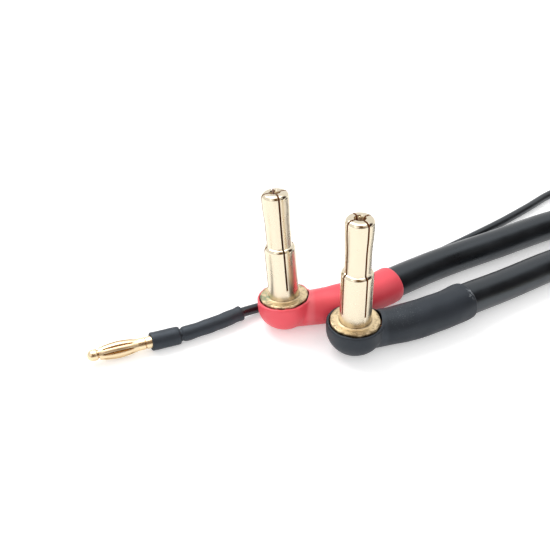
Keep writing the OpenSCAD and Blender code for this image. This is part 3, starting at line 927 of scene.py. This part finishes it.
class LEAD_OT_balance_pin(Operator):
    """The balance pin: ball nose, sprung cage and turned body"""
    bl_idname = "charge_lead.balance_pin"
    bl_label = "Balance pin"

    def execute(self, context):
        settings = context.scene.charge_lead.pin
        gold = plain_gold("pin gold", settings.gold, 0.25)
        sprung = plain_gold("cage gold", settings.gold, 0.34)
        nose, ring, step, bore = 0.93, 0.86, 0.1, 0.65
        outline = [(-9.9, 0)] + arc(-9.0, 0.03, 0.9, -88, 0, 12)
        outline += [(-8.4, nose), (-8.3, nose - 0.05), (-8.27, 0.68), (-8.05, 0.68), (-8.02, 0.94),
                    (-8.01, 0.98), (CAGE_FRONT, 0.98), (CAGE_FRONT, ring), (-7.5, ring),
                    (-7.4, PIN_CORE_RADIUS), (-2.4, PIN_CORE_RADIUS), (-2.3, ring), (CAGE_BACK, ring),
                    (CAGE_BACK, PIN_RADIUS - 0.02), (-1.72, PIN_RADIUS)]
        outline += [(-0.72, PIN_RADIUS), (-0.68, PIN_RADIUS - step), (-0.55, PIN_RADIUS - step),
                    (-0.51, PIN_RADIUS), (4.25, PIN_RADIUS), (4.3, PIN_RADIUS - 0.05),
                    (4.3, bore), (1.5, bore), (1.5, 0)]
        body = new_object("balance_pin_body", turned(outline, along_x, 64), PIN_PLACE)
        back = PIN_PLACE.inverted()

        # painted shade: full on the core between the leaves, 0.6 in the grooves
        def deep(p):
            x, y, z = back @ p
            r = math.hypot(y, z)
            if -7.7 < x < -1.9 and r < PIN_CORE_RADIUS + 0.1:
                return 1.0
            in_groove = -8.3 < x < CAGE_FRONT or -0.7 < x < -0.5
            return 0.6 if in_groove and r < PIN_RADIUS - 0.05 else 0.0

        attribute(body, "deep", deep, faces=True)
        finish_piece(soften(body, 30), gold, ["balance_pin"])
        finish_piece(self.cage(settings, sprung), sprung, ["balance_cage"])
        return {"FINISHED"}

    def cage(self, settings, gold):
        """Leaves set round the pin by a node tree, between two thin rings."""
        tree = bpy.data.node_groups.new("Leaves round a pin", "GeometryNodeTree")
        for label, kind in (("Leaf", "Geometry"), ("Leaves", "Int"), ("Finish", "Material")):
            tree.interface.new_socket(label, in_out="INPUT", socket_type="NodeSocket" + kind)
        tree.interface.new_socket("Cage", in_out="OUTPUT", socket_type="NodeSocketGeometry")
        node, link = tree.nodes.new, tree.links.new
        given, out = node("NodeGroupInput").outputs, node("NodeGroupOutput").inputs
        line = node("GeometryNodeMeshLine")
        line.inputs["Offset"].default_value = (0, 0, 0)
        points = node("GeometryNodeInstanceOnPoints")
        index = node("GeometryNodeInputIndex")
        turn, step = node("ShaderNodeMath"), node("ShaderNodeMath")
        turn.operation, step.operation = "DIVIDE", "MULTIPLY"
        turn.inputs[0].default_value = 2 * math.pi
        angle = node("ShaderNodeCombineXYZ")
        real, finish = node("GeometryNodeRealizeInstances"), node("GeometryNodeSetMaterial")
        link(given["Leaves"], line.inputs["Count"])
        link(given["Leaves"], turn.inputs[1])
        link(index.outputs[0], step.inputs[0])
        link(turn.outputs[0], step.inputs[1])
        link(step.outputs[0], angle.inputs["X"])
        link(line.outputs[0], points.inputs["Points"])
        link(given["Leaf"], points.inputs["Instance"])
        link(angle.outputs[0], points.inputs["Rotation"])
        link(points.outputs[0], real.inputs[0])
        link(real.outputs[0], finish.inputs["Geometry"])
        link(given["Finish"], finish.inputs["Material"])
        link(finish.outputs[0], out[0])
        leaf = new_object("balance_cage_leaves", self.leaf(settings))
        m = leaf.modifiers.new("leaves", "NODES")
        m.node_group = tree
        names = {item.name: item.identifier for item in tree.interface.items_tree if item.in_out == "INPUT"}
        m[names["Leaves"]] = settings.leaves
        m[names["Finish"]] = gold
        flatten(leaf)
        set_down(leaf, PIN_PLACE)
        return soften(leaf, 40)

    def leaf(self, settings):
        """One leaf, arched from the front ring to the back ring, in the pin's own frame."""
        bm = bmesh.new()
        half, arch = math.pi / settings.leaves, settings.cage / 2 - PIN_RADIUS
        steps, across, thickness, crown = 28, 6, 0.13, 0.04
        rows = []
        for i in range(steps + 1):
            f = i / steps
            x = CAGE_FRONT + (CAGE_BACK - CAGE_FRONT) * f
            r = PIN_RADIUS + arch * math.sin(math.pi * f) ** 1.25
            # 1 in the closed rings at both ends, 0 where the leaf stands free
            solid = min(1.0, max(0.0, (1 - min(f / 0.12, (1 - f) / 0.15)) / 0.35))
            wide = half * solid + (1 - solid) * min(half, settings.leaf_width / 2 / r)
            row = []
            for skin in (0, -thickness):
                ring = []
                for k in range(across + 1):
                    side = 2 * k / across - 1
                    reach, a = r + skin + crown * (1 - side ** 2) * (1 - solid), wide * side
                    ring.append(bm.verts.new((x, reach * math.sin(a), reach * math.cos(a))))
                row.append(ring)
            rows.append(row)
        for (o0, i0), (o1, i1) in zip(rows, rows[1:]):
            for k in range(across):
                bm.faces.new((o0[k], o0[k + 1], o1[k + 1], o1[k]))
                bm.faces.new((i0[k + 1], i0[k], i1[k], i1[k + 1]))
            bm.faces.new((o0[0], o1[0], i1[0], i0[0]))
            bm.faces.new((o1[across], o0[across], i0[across], i1[across]))
        for row, flip in ((rows[0], False), (rows[-1], True)):
            o, i = row
            for k in range(across):
                face = (o[k], i[k], i[k + 1], o[k + 1])
                bm.faces.new(face[::-1] if flip else face)
        return bm


class LEAD_OT_balance_sleeve(Operator):
    """Collar and sleeve of heat-shrink over the balance pin's tail"""
    bl_idname = "charge_lead.balance_sleeve"
    bl_label = "Balance collar and sleeve"

    def execute(self, context):
        material = soft_material(
            "sleeve shrink", context.scene.charge_lead.boot.black, 0.3, 0.5,
            scale=4500.0, strength=0.1, specular=0.6)
        wave = lumps(0.8, 0.06, 5.0)
        for node, obj in (("balance_collar", self.collar(wave)), ("balance_sleeve", self.sleeve(wave))):
            finish_piece(soften(obj, 50), material, [node])
        return {"FINISHED"}

    def collar(self, wave):
        """A short tube with a flared mouth, cut obliquely."""
        outer = [(0.0, 1.4), (0.03, 1.47), (0.12, 1.5), (0.28, 1.52)]
        outer += [(0.28 + 4.4 * i / 10, 1.5 + 0.03 * math.sin(math.pi * i / 10)) for i in range(1, 11)]
        outer += [(4.85, 1.46), (5.0, 1.36), (5.08, 1.2), (5.1, 1.09)]
        inner = [(5.1 - 4.3 * i / 6, 1.08) for i in range(7)] + [(0.45, 1.16), (0.15, 1.3), (0.02, 1.36)]
        bm = turned(outer + inner, along_x, 48, self.only_outside(wave, 1.25), closed=True)
        for v in bm.verts:
            if v.co.x < 1:
                near = (0.65 * v.co.z - 0.76 * v.co.y) / math.hypot(v.co.y, v.co.z)
                v.co.x += 0.45 * (1 - v.co.x) * (1 + near) / 2
        return new_object("balance_collar_shrink", bm, PIN_PLACE)

    def sleeve(self, wave):
        """A thin tube over the balance lead, gently waved along its length."""
        line = Line([bend_point(SLEEVE_BEND, SLEEVE_BEND.length * i / 8) for i in range(9)], 0.4)
        end = line.length
        outer = [(-0.3, 0.94), (-0.28, 1.02), (0.0, 1.04), (0.14, 1.16), (0.4, 1.24)]
        outer += [(0.4 + (end - 1.2) * i / 20, 1.25 + 0.03 * math.sin(i * 0.9)) for i in range(1, 21)]
        outer += [(end - 0.4, 1.29), (end - 0.06, 1.3), (end, 1.27), (end, 1.1), (end, 0.94)]
        inner = [(end - (end + 0.3) * i / 12, 0.93) for i in range(1, 13)]
        bm = turned(outer + inner, line.place, 48, self.only_outside(wave, 1.05), closed=True)
        return new_object("balance_sleeve_shrink", bm)

    def only_outside(self, wave, radius):
        """The wave on the outer skin alone, so that the bore stays true."""
        return lambda s, a, r: wave(s, a, r) if r > radius else 0


class LEAD_OT_hank_tie(Operator):
    """The hook-and-loop strap round the folded leads"""
    bl_idname = "charge_lead.hank_tie"
    bl_label = "Tie"

    def execute(self, context):
        material, n, shader = start_material("strap", Roughness=0.85, Sheen_Weight=0.4)
        loops = n.add("ShaderNodeTexVoronoi", {"Vector": n.place(), "Scale": 2600.0}).outputs["Distance"]
        tone = n.mix(n.ramp(loops, 0.1, 0.6), linear((62, 63, 66)), linear((30, 30, 33)))
        n.feed(shader, Base_Color=tone)
        bump(n, shader, loops, 0.6, 0.0001)
        paint_solids(material, "hank_tie")
        return {"FINISHED"}


class LEAD_OT_charger_plug(Operator):
    """Shell, cap and pins at the charger's end"""
    bl_idname = "charge_lead.charger_plug"
    bl_label = "Charger plug"

    def execute(self, context):
        nylon = soft_material(
            "nylon", linear((40, 41, 44)), 0.15, 0.48, scale=2200.0, strength=0.12, specular=0.45)
        gold = plain_gold("charger gold", context.scene.charge_lead.plug.gold, 0.2)
        paint_solids(nylon, "charger_shell", "charger_cap")
        paint_solids(gold, "charger_negative_pin", "charger_positive_pin", "charger_balance_pin")
        return {"FINISHED"}


class LEAD_PT_panel(Panel):
    bl_label = "Charge lead"
    bl_idname = "LEAD_PT_panel"
    bl_space_type = "VIEW_3D"
    bl_region_type = "UI"
    bl_category = "Charge lead"

    def draw(self, context):
        settings = context.scene.charge_lead
        for part in ("stage", "plug", "boot", "lead", "pin"):
            box = self.layout.box()
            group_of = getattr(settings, part)
            for name in group_of.bl_rna.properties.keys():
                if name not in ("rna_type", "name"):
                    box.prop(group_of, name)
        for operator in OPERATORS:
            self.layout.operator(operator.bl_idname)


OPERATORS = (
    LEAD_OT_stage, LEAD_OT_leads, LEAD_OT_stepped_plugs, LEAD_OT_solder, LEAD_OT_boots,
    LEAD_OT_balance_pin, LEAD_OT_balance_sleeve, LEAD_OT_hank_tie, LEAD_OT_charger_plug,
)
CLASSES = (
    PlugSettings, BootSettings, LeadSettings, PinSettings, StageSettings, ChargeLeadSettings,
    *OPERATORS, LEAD_PT_panel,
)


def register():
    for c in CLASSES:
        bpy.utils.register_class(c)
    bpy.types.Scene.charge_lead = PointerProperty(type=ChargeLeadSettings)


def unregister():
    del bpy.types.Scene.charge_lead
    for c in reversed(CLASSES):
        bpy.utils.unregister_class(c)


def main():
    register()
    bpy.ops.charge_lead.stage()
    bpy.ops.charge_lead.leads()
    bpy.ops.charge_lead.stepped_plugs()
    bpy.ops.charge_lead.solder()
    bpy.ops.charge_lead.boots()
    bpy.ops.charge_lead.balance_pin()
    bpy.ops.charge_lead.balance_sleeve()
    bpy.ops.charge_lead.hank_tie()
    bpy.ops.charge_lead.charger_plug()


if __name__ == "__main__":
    main()
